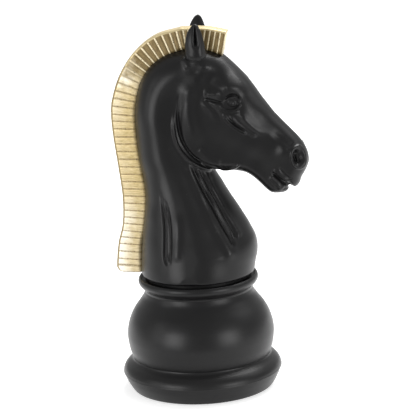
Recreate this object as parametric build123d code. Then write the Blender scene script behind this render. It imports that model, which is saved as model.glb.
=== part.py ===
"""A giant chess knight: a round base of three stacked castings, with a hollow horse's head and neck on top.

Millimetres, +Z up. The origin is the centre of the base on the surface that it stands on.
The horse faces +X, so its right side faces -Y. A threaded rod on the base's axis clamps the stack:
foot, bowl, collar and the bulkhead that is bonded into the neck. The mane and the ears are separate
castings, bonded to the horse over a tongue and over dowels. Sand in the bowl is the ballast. It goes
in through the filler neck of the foot, which a quarter-turn plug closes.
"""

from build123d import *
import math
import os

os.makedirs("parts", exist_ok=True)

# ---- Driving dimensions -------------------------------------------------------------------------
HORSE_HEIGHT = 334.0  # from the collar's dish to the tips of the ears
HORSE_LENGTH_SCALE = 1.0  # stretches the horse above its round neck along X
BOWL_RADIUS = 94.0
BOWL_HEIGHT = 91.0  # from the foot's deck to the collar's underside
FOOT_FLARE = 8.0  # the foot's crease, the widest line of the base, stands out of the bowl by this much
FOOT_HEIGHT = 38.5  # from the foot's rim to its deck
NECK_BASE_RADIUS = 72.0
LIP_OVERHANG = 4.0  # the collar's lip stands out of the neck by this much
LIP_FLARE = 7.5  # and out of the collar's foot by this much
COLLAR_HEIGHT = 15.0  # from its underside to the dish that the neck stands in
WALL = 6.5  # of the castings

# ---- Clearances ---------------------------------------------------------------------------------
SPIGOT_FIT = 0.3  # on the radius of a spigot
GLUE_FIT = 0.3  # on each face of a bonded tongue
PIN_FIT = 0.05  # on the radius of a pin, dowel or screw thread
ROD_FIT = 0.5  # on the radius of the tie rod
TURN_FIT = 0.3  # round the plug's moving faces

# ---- Foot, cover and pad ------------------------------------------------------------------------
RIM_GAP = 1.5  # from the floor to the foot's rim
RIM_WIDTH = 10.0  # from the foot's outside to the cover's recess
PAD_THICKNESS = 3.0
PAD_INSET = 18.0  # the pad's edge is this much inside the cover's
COVER_THICKNESS = 5.0
LEDGE_WIDTH = 4.0  # what the cover's edge rests on
LEDGE_HEIGHT = 2.0
DECK_THICKNESS = 8.0
FOOT_RIM_INSET = 12.0  # the rim is this much inside the crease
CREASE_HEIGHT = 22.0  # above the rim
SEAT_INSET = 6.5  # the bowl's foot is this much inside its widest line
SCREW_COUNT = 6
SCREW_INSET = 10.0  # from the cover's edge to the screws
SCREW_RADIUS = 2.0
SCREW_LENGTH = 16.0
SCREW_HEAD_RADIUS = 4.0
SCREW_HEAD_HEIGHT = 2.3
SCREW_BOSS_RADIUS = 6.5

# ---- Filler neck and plug -----------------------------------------------------------------------
FILLER_X = 42.0
FILLER_BORE = 13.0
FILLER_WALL = 5.0
LUG_REACH = 2.2
LUG_WIDTH = 7.0
LUG_HEIGHT = 5.4
LUG_RISE = 6.0  # from the filler neck's mouth to its lug groove
FLANGE_RADIUS = 17.5
FLANGE_THICKNESS = 4.0
PLUG_SHANK = 15.0
SEAL_THICKNESS = 2.4
COIN_SLOT_WIDTH = 3.0
COIN_SLOT_DEPTH = 2.5

# ---- Spigots, pins and tie rod ------------------------------------------------------------------
FOOT_SPIGOT_INSET = 27.5  # inside the seat's edge
FOOT_SPIGOT_HEIGHT = 4.0
COLLAR_SPIGOT_INSET = 18.5  # inside the bowl's top edge
COLLAR_SPIGOT_HEIGHT = 5.0
COLLAR_BORE = 40.0
NECK_WALL = 10.0  # round the bulkhead
BULKHEAD_THICKNESS = 12.0
BULKHEAD_SPIGOT_HEIGHT = 6.0
PIN_RADIUS = 3.0
PIN_ENGAGEMENT = 5.0  # in each of the two castings
ROD_RADIUS = 5.0
ROD_END = 2.0  # stands out of each nut
NUT_ACROSS_FLATS = 17.0
NUT_HEIGHT = 8.0
WASHER_RADIUS = 12.0
WASHER_THICKNESS = 2.5
SAND_LEVEL = 52.0  # above the foot's deck

# ---- Mane and ears ------------------------------------------------------------------------------
MANE_THICKNESS = 20.0
TONGUE_THICKNESS = 8.0
MANE_DOWEL_RADIUS = 2.5
MANE_DOWEL_LENGTH = 22.0
RIB_COUNT = 45
RIB_GROOVE = 0.9  # depth of the grooves between the ribs
RIB_START = 14.0  # from the tongue's inner edge, so that the grooves begin clear of the neck
EAR_OFFSET = 27.0  # from the middle plane to the middle of an ear
EAR_DOWEL_X = 15.0  # ahead of the base's axis, as drawn
EAR_DOWEL_RADIUS = 3.0
EAR_DOWEL_LENGTH = 24.0

# ---- Radii that follow from the sizes above ------------------------------------------------------
FOOT_RADIUS = BOWL_RADIUS + FOOT_FLARE
SEAT_RADIUS = BOWL_RADIUS - SEAT_INSET
RIM_RADIUS = FOOT_RADIUS - FOOT_RIM_INSET
COVER_RADIUS = RIM_RADIUS - RIM_WIDTH
PAD_RADIUS = COVER_RADIUS - PAD_INSET
FOOT_SPIGOT_RADIUS = SEAT_RADIUS - FOOT_SPIGOT_INSET
COLLAR_RADIUS = NECK_BASE_RADIUS + LIP_OVERHANG
BOWL_TOP_RADIUS = COLLAR_RADIUS - LIP_FLARE
COLLAR_SPIGOT_RADIUS = BOWL_TOP_RADIUS - COLLAR_SPIGOT_INSET
BULKHEAD_RADIUS = NECK_BASE_RADIUS - NECK_WALL

# ---- Levels -------------------------------------------------------------------------------------
COVER_TOP = PAD_THICKNESS + COVER_THICKNESS
DECK_TOP = RIM_GAP + FOOT_HEIGHT
DECK_BOTTOM = DECK_TOP - DECK_THICKNESS
BOWL_TOP = DECK_TOP + BOWL_HEIGHT
BOWL_DECK_BOTTOM = BOWL_TOP - WALL
DISH = BOWL_TOP + COLLAR_HEIGHT
BULKHEAD_TOP = DISH + BULKHEAD_THICKNESS
FILLER_MOUTH = COVER_TOP + TURN_FIT

# The horse's outline is drawn in its own frame, from the dish up, for a horse of this height.
DRAWN_HEIGHT = 334.0
DRAWN_NECK_RADIUS = 72.0  # where the neck is round
DRAWN_BOWL_HEIGHT = 91.0
NECK_FOOT_HEIGHT = 140.0  # up to here the neck widens with its round foot
UP = HORSE_HEIGHT / DRAWN_HEIGHT
ALONG = HORSE_LENGTH_SCALE


def lathe(outline):
    """A solid of revolution about Z from a closed outline of (radius, height) points and edges."""
    face = make_face(outline)
    return revolve(face, Axis.Z)


def rz(radius, height):
    """A point of a turned outline."""
    return (radius, 0, height)


def polygon(points):
    """A closed outline of straight lines through (radius, height) points."""
    corners = [rz(*p) for p in points]
    return Polyline(*corners, close=True)


def rod(radius, low, high, x=0.0, y=0.0):
    """An upright cylinder between two heights."""
    return Pos(x, y, (low + high) / 2) * Cylinder(radius, high - low)


def around(count, radius, start=0.0):
    """Places on a circle about Z, as (x, y, angle in degrees)."""
    step = 360 / count
    angles = [start + step * k for k in range(count)]
    return [(radius * math.cos(math.radians(a)), radius * math.sin(math.radians(a)), a) for a in angles]


def hexagon(low, high):
    """A nut's outer shape on the axis."""
    sketch = RegularPolygon(NUT_ACROSS_FLATS / 2, 6, major_radius=False)
    return Pos(0, 0, low) * extrude(sketch, high - low)


# ---- Turned castings ----------------------------------------------------------------------------
CREASE = RIM_GAP + CREASE_HEIGHT
SCREW_PLACES = around(SCREW_COUNT, COVER_RADIUS - SCREW_INSET, 30)
LOWER_PIN_CIRCLE = (FOOT_SPIGOT_RADIUS + SEAT_RADIUS) / 2
MIDDLE_PIN_CIRCLE = (COLLAR_SPIGOT_RADIUS + BOWL_TOP_RADIUS) / 2
UPPER_PIN_CIRCLE = (COLLAR_BORE + BULKHEAD_RADIUS) / 2


def pin_places():
    """Each locating pin as (x, y, low, high): one pair for each joint of the stack."""
    joints = [(LOWER_PIN_CIRCLE, DECK_TOP), (MIDDLE_PIN_CIRCLE, BOWL_TOP), (UPPER_PIN_CIRCLE, DISH)]
    places = []
    for circle, level in joints:
        for x, y, _ in around(2, circle, 90):
            places.append((x, y, level - PIN_ENGAGEMENT, level + PIN_ENGAGEMENT))
    return places


def pin_holes():
    """The holes of the locating pins."""
    return [rod(PIN_RADIUS + PIN_FIT, low, high, x, y) for x, y, low, high in pin_places()]


def rod_hole(low, high):
    """The tie rod's hole between two heights."""
    return rod(ROD_RADIUS + ROD_FIT, low, high)


def foot_outer():
    """The foot's outside: a full side under the crease and a hollowed top above it."""
    side = ThreePointArc(
        rz(RIM_RADIUS, RIM_GAP), rz(RIM_RADIUS + 0.68 * FOOT_RIM_INSET, RIM_GAP + 0.42 * CREASE_HEIGHT),
        rz(FOOT_RADIUS, CREASE))
    shoulder = (FOOT_RADIUS - 4.5, CREASE + 0.62 * (DECK_TOP - CREASE))
    top = Spline(rz(FOOT_RADIUS, CREASE), rz(*shoulder), rz(SEAT_RADIUS, DECK_TOP),
                 tangents=[(-0.15, 0, 1), (-1, 0, 0.25)])
    close = Polyline(rz(SEAT_RADIUS, DECK_TOP), rz(0, DECK_TOP), rz(0, RIM_GAP), rz(RIM_RADIUS, RIM_GAP))
    return lathe(side + top + close)


def foot():
    """The hollow foot, with a ledge for the cover, screw bosses, a spigot and the filler neck."""
    ledge = COVER_RADIUS - LEDGE_WIDTH
    widest = FOOT_RADIUS - 1.6 * WALL
    cavity = lathe(polygon([
        (0, RIM_GAP), (COVER_RADIUS + SPIGOT_FIT, RIM_GAP), (COVER_RADIUS + SPIGOT_FIT, COVER_TOP),
        (ledge, COVER_TOP), (ledge, COVER_TOP + LEDGE_HEIGHT), (widest, CREASE - 1.0),
        (widest, CREASE + 2.0), (SEAT_RADIUS, DECK_BOTTOM), (0, DECK_BOTTOM)]))
    body = foot_outer() - cavity
    body += rod(FOOT_SPIGOT_RADIUS, DECK_BOTTOM, DECK_TOP + FOOT_SPIGOT_HEIGHT)
    for x, y, _ in SCREW_PLACES:
        body += rod(SCREW_BOSS_RADIUS, COVER_TOP, DECK_BOTTOM + 1, x, y)
    body += rod(FILLER_BORE + FILLER_WALL, FILLER_MOUTH, DECK_BOTTOM + 1, FILLER_X)
    for x, y, _ in SCREW_PLACES:
        body -= rod(SCREW_RADIUS + PIN_FIT, COVER_TOP, PAD_THICKNESS + SCREW_LENGTH + 1, x, y)
    body -= rod(FILLER_BORE, FILLER_MOUTH, DECK_TOP + FOOT_SPIGOT_HEIGHT, FILLER_X)
    groove_low = FILLER_MOUTH + LUG_RISE
    groove_radius = FILLER_BORE + LUG_REACH + TURN_FIT
    body -= rod(groove_radius, groove_low, groove_low + LUG_HEIGHT + 2 * TURN_FIT, FILLER_X)
    entry = Box(LUG_WIDTH + 1.0, 2 * groove_radius, LUG_RISE + 1)
    body -= Pos(FILLER_X, 0, FILLER_MOUTH + LUG_RISE / 2) * entry
    for hole in [rod_hole(DECK_BOTTOM, DECK_TOP + FOOT_SPIGOT_HEIGHT)] + pin_holes():
        body -= hole
    return body


def bowl_curve(inset=0.0):
    """The bowl's side as a spline from its foot to its neck, moved inwards by inset."""
    neck = BOWL_TOP_RADIUS - inset
    full = BOWL_RADIUS - inset
    root = SEAT_RADIUS + 0.5 - inset
    rise = BOWL_HEIGHT / DRAWN_BOWL_HEIGHT
    points = [rz(root, DECK_TOP), rz(full - 1.2, DECK_TOP + 17 * rise), rz(full, DECK_TOP + 32 * rise),
              rz(full - 5.5, DECK_TOP + 56 * rise), rz((neck + full) / 2 - 1.0, DECK_TOP + 72 * rise),
              rz(neck, BOWL_TOP)]
    return Spline(*points, tangents=[(0.45, 0, 1), (-0.1, 0, 1)])


def bowl_inside():
    """The bowl's cavity, between its bottom flange and its top deck."""
    side = bowl_curve(WALL)
    low, high = side @ 0, side @ 1
    close = Polyline(high, rz(0, high.Z), rz(0, low.Z), low)
    cavity = lathe(side + close)
    return cavity & rod(BOWL_RADIUS, DECK_TOP + WALL, BOWL_DECK_BOTTOM)


def bowl():
    """The round bowl, open at the bottom over the foot's spigot and at the top under the collar's."""
    side = bowl_curve()
    low, high = side @ 0, side @ 1
    body = lathe(side + Polyline(high, rz(0, high.Z), rz(0, low.Z), low))
    body -= bowl_inside()
    body -= rod(FOOT_SPIGOT_RADIUS + SPIGOT_FIT, DECK_TOP, DECK_TOP + WALL)
    body -= rod(COLLAR_SPIGOT_RADIUS + SPIGOT_FIT, BOWL_DECK_BOTTOM, BOWL_TOP)
    for hole in pin_holes():
        body -= hole
    return body


def collar():
    """The flared collar: a rolled lip round the dish that the neck stands in."""
    lip_top = DISH + 2.5
    under = Spline(rz(BOWL_TOP_RADIUS, BOWL_TOP), rz(COLLAR_RADIUS - 3.6, BOWL_TOP + 5.0),
                   rz(COLLAR_RADIUS - 0.4, BOWL_TOP + 9.5), tangents=[(0.1, 0, 1), (0.3, 0, 1)])
    lip = ThreePointArc(under @ 1, rz(COLLAR_RADIUS, BOWL_TOP + 13.0), rz(COLLAR_RADIUS - 2.6, lip_top))
    dish = Polyline(lip @ 1, rz(NECK_BASE_RADIUS - 2.0, DISH), rz(0, DISH), rz(0, BOWL_TOP), under @ 0)
    body = lathe(under + lip + dish)
    body += rod(COLLAR_SPIGOT_RADIUS, BOWL_TOP - COLLAR_SPIGOT_HEIGHT, BOWL_TOP)
    body -= rod(COLLAR_BORE, BOWL_TOP - COLLAR_SPIGOT_HEIGHT, DISH)
    for hole in pin_holes():
        body -= hole
    return body


# ---- Horse --------------------------------------------------------------------------------------
def hx(x):
    """A drawn X of the horse, as built."""
    return x * ALONG


def hz(z):
    """A drawn height of the horse above the dish, as built."""
    return DISH + z * UP


def ellipse_face(middle, reach, half_width):
    """An elliptical section: middle is its centre (x, z), reach the (x, z) from there to its outer end."""
    length = math.hypot(*reach)
    along = (reach[0] / length, 0, reach[1] / length)
    plane = Plane(origin=(middle[0], 0, middle[1]), x_dir=along, z_dir=(-along[2], 0, along[0]))
    return plane * Ellipse(length, half_width)


# The neck's lower sections are level: (height, back x, front x, half-width).
LEVEL_SECTIONS = [(7, -72, 72, 72), (24, -71, 75.5, 68), (48, -68, 76.5, 61), (76, -64, 62.5, 53),
                  (106, -61.5, 45.5, 46.5), (140, -65.5, 30, 42)]
# The upper ones fan about a pivot behind the jaw: (angle, inner radius, outer radius, half-width).
FAN_PIVOT = (10.0, 199.0)
FAN_SECTIONS = [(194, 8, 83, 38.5), (170, 8, 82, 36), (140, 12, 88, 34.5), (112, 20, 97.5, 35),
                (86, 22, 98.5, 36.5)]
# The head's sections stand across its axis: (distance along, below, above, half-width).
HEAD_START = (5.0, 264.0)
HEAD_DIRECTION = (0.72, -0.694)
HEAD_SECTIONS = [(-14, 36, 38, 26), (0, 45, 44, 33), (22, 55, 46.5, 37), (46, 63, 45, 37.5),
                 (80, 71, 38.5, 33), (110, 61, 35, 27.5), (135, 46.5, 33.5, 24), (160, 42, 30.5, 23),
                 (180, 38, 20, 19.5), (188, 31, 7, 13)]
CREST_EXTRA = 9.0  # the shell is this much thicker along the crest, round the mane's slot


def neck_width(height):
    """How much wider than drawn the neck is at a drawn height: it follows the round neck foot."""
    return 1 + (NECK_BASE_RADIUS / DRAWN_NECK_RADIUS - 1) * max(0.0, 1 - height / NECK_FOOT_HEIGHT)


def neck_faces(wall=0.0):
    """The neck's sections from the collar to the poll; wall draws the cavity's, inside by that much."""
    crest = wall + CREST_EXTRA if wall else 0.0
    faces = []
    for height, back, front, half in LEVEL_SECTIONS:
        k = neck_width(height)
        low, high = hx(back * k) + crest, hx(front * k) - wall
        faces.append(ellipse_face(((low + high) / 2, hz(height)), ((high - low) / 2, 0), half * k - wall))
    for angle, inner, outer, half in FAN_SECTIONS:
        c, s = math.cos(math.radians(angle)), math.sin(math.radians(angle))
        near = (hx(FAN_PIVOT[0] + (inner + wall) * c), hz(FAN_PIVOT[1] + (inner + wall) * s))
        far = (hx(FAN_PIVOT[0] + (outer - crest) * c), hz(FAN_PIVOT[1] + (outer - crest) * s))
        middle = ((near[0] + far[0]) / 2, (near[1] + far[1]) / 2)
        # The inner end leads, so that every section turns the same way as the level ones.
        reach = ((near[0] - far[0]) / 2, (near[1] - far[1]) / 2)
        faces.append(ellipse_face(middle, reach, half - wall))
    return faces


def head_faces(wall=0.0, last=None):
    """The head's sections from the poll to the muzzle."""
    dx, dz = HEAD_DIRECTION
    faces = []
    for along, below, above, half in HEAD_SECTIONS[:last]:
        x0, z0 = HEAD_START[0] + dx * along, HEAD_START[1] + dz * along
        top = (hx(x0 - dz * (above - wall)), hz(z0 + dx * (above - wall)))
        bottom = (hx(x0 + dz * (below - wall)), hz(z0 - dx * (below - wall)))
        middle = ((top[0] + bottom[0]) / 2, (top[1] + bottom[1]) / 2)
        faces.append(ellipse_face(middle, ((top[0] - bottom[0]) / 2, (top[1] - bottom[1]) / 2), half - wall))
    return faces


def horse_outer():
    """The horse's solid outside: round neck foot, neck and head."""
    under = NECK_BASE_RADIUS - 4.0
    round_foot = lathe(polygon([(0, DISH), (under, DISH), (under, DISH + 2.5), (NECK_BASE_RADIUS, DISH + 5.5),
                                (NECK_BASE_RADIUS, hz(7)), (0, hz(7))]))
    return round_foot + loft(neck_faces()) + loft(head_faces())


MANE_OUTER = [(-102, 10), (-101, 28), (-96.5, 54), (-90, 84), (-88.5, 112), (-91, 140), (-95, 170),
              (-98, 202), (-97.5, 226), (-90, 253), (-75, 280), (-50, 305.5), (-22, 321), (2, 324.5),
              (36, 325.5), (53, 321)]
MANE_INNER = [(38, 283), (22, 288), (0, 290), (-22, 283), (-42, 268), (-55, 245), (-61, 215), (-60, 180),
              (-56, 145), (-53, 110), (-55, 80), (-60, 45), (-64, 10)]


def mane_edge(drawn):
    """One edge of the mane's side view; low down it follows the neck's width."""
    return Spline(*[(hx(x * neck_width(z)), 0, hz(z)) for x, z in drawn])


def mane_outline():
    """The mane's side view, its inner edge inside the neck by the depth of the tongue."""
    outer = mane_edge(MANE_OUTER)
    inner = mane_edge(MANE_INNER)
    front = Line(outer @ 1, inner @ 0)
    bottom = Line(inner @ 1, outer @ 0)
    return outer, inner, make_face(outer + front + inner + bottom)


def across(face, thickness):
    """The face of a side view, made that thick about the middle plane."""
    return extrude(face, thickness / 2, dir=(0, 1, 0), both=True)


def mane_dowel_places():
    """Each mane dowel as (middle, direction): it crosses the root from the neck into the blade."""
    outer, inner, _ = mane_outline()
    places = []
    for share in (0.12, 0.38, 0.62, 0.86):
        o, i = outer @ share, inner @ (1 - share)
        direction = (o - i).normalized()
        places.append((i + direction * 8.0, direction))
    return places


def mane_dowels(extra=0.0):
    """The mane's dowels, or their holes with extra on the radius."""
    dowel = Cylinder(MANE_DOWEL_RADIUS + extra, MANE_DOWEL_LENGTH)
    return [Plane(origin=middle, z_dir=direction) * dowel for middle, direction in mane_dowel_places()]


def wedge(edge, across_edge, inward, along, length):
    """A cutter for a V groove: a triangle at edge, as deep as it is half wide, drawn out along the edge."""
    corners = [edge + across_edge * RIB_GROOVE, edge + inward * RIB_GROOVE, edge - across_edge * RIB_GROOVE]
    return extrude(make_face(Polyline(*corners, close=True)), length, dir=along)


def rib_cutters():
    """The V grooves across both sides and the rim of the mane, one between each two ribs."""
    outer, inner, _ = mane_outline()
    y = Vector(0, 1, 0)
    half = MANE_THICKNESS / 2
    cutters = []
    for k in range(1, RIB_COUNT):
        rim, root = outer @ (k / RIB_COUNT), inner @ (1 - k / RIB_COUNT)
        outward = (rim - root).normalized()
        root += outward * RIB_START
        beside = y.cross(outward)
        length = (rim - root).length + 3
        for side in (1, -1):
            cutters.append(wedge(root + y * (side * half), beside, y * -side, outward, length))
        cutters.append(wedge(rim - y * (half + 1), beside, outward * -1, y, MANE_THICKNESS + 2))
    return cutters


def mane(outer_shape):
    """The mane: a blade outside the horse and a thinner tongue in its slot."""
    _, _, face = mane_outline()
    blade = across(face, MANE_THICKNESS) - outer_shape
    blade = max(blade.solids(), key=lambda s: s.volume) - rib_cutters()
    tongue = across(face, TONGUE_THICKNESS) & outer_shape
    body = blade + tongue
    for hole in mane_dowels(PIN_FIT):
        body -= hole
    return max(body.solids(), key=lambda s: s.volume)


def ear_loft(side):
    """One ear's full shape, rooted inside the head; side is -1 for the right ear."""
    stations = [(15.0, 272.0, 12.5, 9.5), (14.5, 290.0, 13.5, 9.5), (15.0, 306.0, 12.5, 8.5),
                (15.5, 321.0, 8.0, 5.5), (16.0, DRAWN_HEIGHT, 1.6, 1.4)]
    faces = []
    for x, z, half_length, half_width in stations:
        faces.append(Pos(hx(x), side * EAR_OFFSET, hz(z)) * Ellipse(half_length * ALONG, half_width))
    return loft(faces)


EAR_ROOT = 284.0  # drawn height of the middle of the ear's dowel


def ear_dowel(side, extra=0.0):
    """The dowel of one ear, or its hole with extra on the radius."""
    low = hz(EAR_ROOT) - EAR_DOWEL_LENGTH / 2
    return rod(EAR_DOWEL_RADIUS + extra, low, low + EAR_DOWEL_LENGTH, hx(EAR_DOWEL_X), side * EAR_OFFSET)


def horse_shell(outer_shape):
    """The hollow neck and head, with the mane's slot and the ears' sockets."""
    cavity = loft(neck_faces(WALL)[1:-1]) + loft(head_faces(WALL, -3)[1:])
    beyond = 2 * HORSE_HEIGHT
    cavity &= rod(beyond, BULKHEAD_TOP, BULKHEAD_TOP + beyond)
    body = outer_shape - cavity
    body -= rod(BULKHEAD_RADIUS, DISH, BULKHEAD_TOP)
    body -= loft([Pos(0, 0, BULKHEAD_TOP) * Circle(BULKHEAD_RADIUS), neck_faces(WALL)[1]])
    _, _, face = mane_outline()
    body -= across(face, TONGUE_THICKNESS + 2 * GLUE_FIT)
    for hole in mane_dowels(PIN_FIT) + [ear_dowel(side, PIN_FIT) for side in (-1, 1)]:
        body -= hole
    return max(body.solids(), key=lambda s: s.volume)


def ear(side, outer_shape):
    """One ear, cut to the head where it stands on it."""
    body = ear_loft(side) - outer_shape
    body -= ear_dowel(side, PIN_FIT)
    return max(body.solids(), key=lambda s: s.volume)


# ---- Inside pieces ------------------------------------------------------------------------------
def bulkhead():
    """The disc bonded into the neck: its spigot drops into the collar, its pocket holds the upper nut."""
    body = rod(BULKHEAD_RADIUS - GLUE_FIT, DISH, BULKHEAD_TOP)
    body += rod(COLLAR_BORE - SPIGOT_FIT, DISH - BULKHEAD_SPIGOT_HEIGHT, DISH)
    body -= hexagon(BULKHEAD_TOP - NUT_HEIGHT, BULKHEAD_TOP)
    body -= rod_hole(DISH - BULKHEAD_SPIGOT_HEIGHT, BULKHEAD_TOP)
    for hole in pin_holes():
        body -= hole
    return body


def nut(low):
    """A hexagon nut on the tie rod."""
    return hexagon(low, low + NUT_HEIGHT) - rod(ROD_RADIUS + PIN_FIT, low, low + NUT_HEIGHT)


WASHER_LOW = DECK_BOTTOM - WASHER_THICKNESS
LOWER_NUT_LOW = WASHER_LOW - NUT_HEIGHT
UPPER_NUT_LOW = BULKHEAD_TOP - NUT_HEIGHT


def washer():
    """The washer between the lower nut and the foot's deck."""
    return rod(WASHER_RADIUS, WASHER_LOW, DECK_BOTTOM) - rod_hole(WASHER_LOW, DECK_BOTTOM)


def tie_rod():
    """The threaded rod, drawn plain at its thread's outer diameter."""
    body = rod(ROD_RADIUS, LOWER_NUT_LOW - ROD_END, BULKHEAD_TOP + ROD_END)
    return chamfer(body.edges().filter_by(GeomType.CIRCLE), 0.8)


def sand():
    """The sand in the bowl, level, round the tie rod."""
    gap = 0.2
    side = Pos(-gap, 0, 0) * bowl_curve(WALL)
    low, high = side @ 0, side @ 1
    fill = lathe(side + Polyline(high, rz(0, high.Z), rz(0, low.Z), low))
    level = DECK_TOP + SAND_LEVEL
    fill &= rod(BOWL_RADIUS, DECK_TOP + WALL + gap, level)
    fill += rod(FOOT_SPIGOT_RADIUS - 1.0, DECK_TOP + FOOT_SPIGOT_HEIGHT + gap, level)
    return fill - rod(ROD_RADIUS + gap, DECK_TOP, level)


def cover():
    """The round cover of the foot, with a hole for the filler plug and countersunk screw holes."""
    body = rod(COVER_RADIUS, PAD_THICKNESS, COVER_TOP)
    body -= rod(FLANGE_RADIUS + 1.5, PAD_THICKNESS, COVER_TOP, FILLER_X)
    for x, y, _ in SCREW_PLACES:
        body -= screw(x, y, 0.1)
    return body


def screw(x, y, extra=0.0):
    """A countersunk screw, or its hole with extra all round."""
    low = PAD_THICKNESS
    head = lathe(polygon([(0, low), (SCREW_HEAD_RADIUS + extra, low),
                          (SCREW_RADIUS + extra, low + SCREW_HEAD_HEIGHT), (0, low + SCREW_HEAD_HEIGHT)]))
    shank = rod(SCREW_RADIUS + extra, low, low + SCREW_LENGTH)
    return Pos(x, y, 0) * (head + shank)


def cover_screws():
    """The cover's screws, each with a cross recess."""
    recess = Box(4.2, 0.9, 2.4) + Box(0.9, 4.2, 2.4)
    solids = [screw(x, y) - Pos(x, y, PAD_THICKNESS) * Rot(0, 0, a) * recess for x, y, a in SCREW_PLACES]
    return Compound(children=solids)


def pad():
    """The anti-slip pad under the cover, open round the filler plug."""
    return rod(PAD_RADIUS, 0, PAD_THICKNESS) - rod(FLANGE_RADIUS + 1.5, 0, PAD_THICKNESS, FILLER_X)


SHANK_RADIUS = FILLER_BORE - TURN_FIT
FLANGE_TOP = FILLER_MOUTH - TURN_FIT
SEAL_LEVEL = FLANGE_TOP + 3.0


def plug():
    """The quarter-turn plug: flange with a coin slot, shank with a seal groove, and two lugs."""
    body = rod(FLANGE_RADIUS, FLANGE_TOP - FLANGE_THICKNESS, FLANGE_TOP, FILLER_X)
    body += rod(SHANK_RADIUS, FLANGE_TOP, FLANGE_TOP + PLUG_SHANK, FILLER_X)
    lug_low = FILLER_MOUTH + LUG_RISE + TURN_FIT
    lug_radius = FILLER_BORE + LUG_REACH
    lugs = Box(2 * lug_radius, LUG_WIDTH, LUG_HEIGHT) & Cylinder(lug_radius, LUG_HEIGHT)
    body += Pos(FILLER_X, 0, lug_low + LUG_HEIGHT / 2) * lugs
    coin_slot = Box(1.5 * FLANGE_RADIUS, COIN_SLOT_WIDTH, 2 * COIN_SLOT_DEPTH)
    body -= Pos(FILLER_X, 0, FLANGE_TOP - FLANGE_THICKNESS) * coin_slot
    half = SEAL_THICKNESS / 2 + 0.1
    groove = rod(SHANK_RADIUS, SEAL_LEVEL - half, SEAL_LEVEL + half, FILLER_X)
    groove -= rod(FILLER_BORE - SEAL_THICKNESS - 0.1, SEAL_LEVEL - half, SEAL_LEVEL + half, FILLER_X)
    return body - groove


def plug_seal():
    """The O-ring in the plug's groove, clear of the bore by a hair so that it turns."""
    radius = SEAL_THICKNESS / 2
    return Pos(FILLER_X, 0, SEAL_LEVEL) * Torus(FILLER_BORE - 0.05 - radius, radius)


def locating_pins():
    """The pins that stop the stacked castings turning."""
    return Compound(children=[rod(PIN_RADIUS, low, high, x, y) for x, y, low, high in pin_places()])


def main():
    """Builds every piece and writes one STEP for each."""
    outer_shape = horse_outer()
    pieces = {
        "foot": foot(),
        "base_cover": cover(),
        "cover_screws": cover_screws(),
        "anti_slip_pad": pad(),
        "filler_plug": plug(),
        "plug_seal": plug_seal(),
        "sand_ballast": sand(),
        "bowl": bowl(),
        "collar": collar(),
        "horse_shell": horse_shell(outer_shape),
        "neck_bulkhead": bulkhead(),
        "tie_rod": tie_rod(),
        "lower_nut": nut(LOWER_NUT_LOW),
        "lower_washer": washer(),
        "captive_nut": nut(UPPER_NUT_LOW),
        "locating_pins": locating_pins(),
        "ear_right": ear(-1, outer_shape),
        "ear_left": ear(1, outer_shape),
        "ear_dowels": Compound(children=[ear_dowel(side) for side in (-1, 1)]),
        "mane": mane(outer_shape),
        "mane_dowels": Compound(children=mane_dowels()),
    }
    for name, shape in pieces.items():
        export_step(shape, f"parts/{name}.step")


main()
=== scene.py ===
"""The looks of a giant chess knight: a matte black horse's head with a gold-leaf mane on a round base.

The horse is a sculpted surface. Its side outlines are closed curves, each blown up to a given
half-width with rounded edges, and the head and the neck are blended into one skin. Folds, lids,
nostrils and lips are then raised or sunk along lines drawn in the side view. Lengths are in
millimetres until a mesh is made.
"""

import math

import bpy
import numpy as np
from mathutils import Matrix, Vector


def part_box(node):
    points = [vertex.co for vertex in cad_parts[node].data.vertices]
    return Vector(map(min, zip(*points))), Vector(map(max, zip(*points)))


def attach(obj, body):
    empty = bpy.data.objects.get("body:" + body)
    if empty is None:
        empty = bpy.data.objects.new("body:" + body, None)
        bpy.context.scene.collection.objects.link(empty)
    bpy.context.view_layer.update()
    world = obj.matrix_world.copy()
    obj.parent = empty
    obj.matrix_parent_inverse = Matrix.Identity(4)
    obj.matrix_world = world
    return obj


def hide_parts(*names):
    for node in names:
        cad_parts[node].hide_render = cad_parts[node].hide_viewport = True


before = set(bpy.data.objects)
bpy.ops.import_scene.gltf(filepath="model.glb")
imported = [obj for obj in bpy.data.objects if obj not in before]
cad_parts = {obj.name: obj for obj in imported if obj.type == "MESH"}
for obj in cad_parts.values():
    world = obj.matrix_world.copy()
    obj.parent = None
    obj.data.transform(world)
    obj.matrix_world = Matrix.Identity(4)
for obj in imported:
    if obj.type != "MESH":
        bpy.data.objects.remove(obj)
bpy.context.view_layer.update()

MM = 0.001


def span(node):
    """A CAD node's lowest and highest corners in millimetres."""
    low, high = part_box(node)
    return np.array(low) / MM, np.array(high) / MM


# ---- Places taken from the frame ----------------------------------------------------------------
DISH = span("horse_shell")[0][2]  # the collar's dish, where the neck stands
TOP = span("ear_right")[1][2]
DECK = span("bowl")[0][2]
SHOULDER = span("bowl")[1][2]
RIM = span("foot")[0][2]
FOOT_FULLER, BOWL_FULLER, LIP_FULLER = 0.6, 0.7, 1.2  # how far the looks stand out over the CAD
FOOT_RADIUS = span("foot")[1][0] + FOOT_FULLER
BOWL_RADIUS = span("bowl")[1][0] + BOWL_FULLER
LIP_RADIUS = span("collar")[1][0] + LIP_FULLER
MANE_HALF = span("mane")[1][1]
COVER_RADIUS = span("base_cover")[1][0]
COVER_TOP = span("base_cover")[1][2]
EAR_MIDDLE = (span("ear_left")[0][1] + span("ear_left")[1][1]) / 2

# Heights below are those of a knight 480 mm tall whose neck stands 146 mm above the floor.
DRAWN_DISH = 146.0
DRAWN_TOP = 480.0
UP = (TOP - DISH) / (DRAWN_TOP - DRAWN_DISH)


def lift(z):
    """A drawn height, as built."""
    return DISH + (np.asarray(z, float) - DRAWN_DISH) * UP


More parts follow.
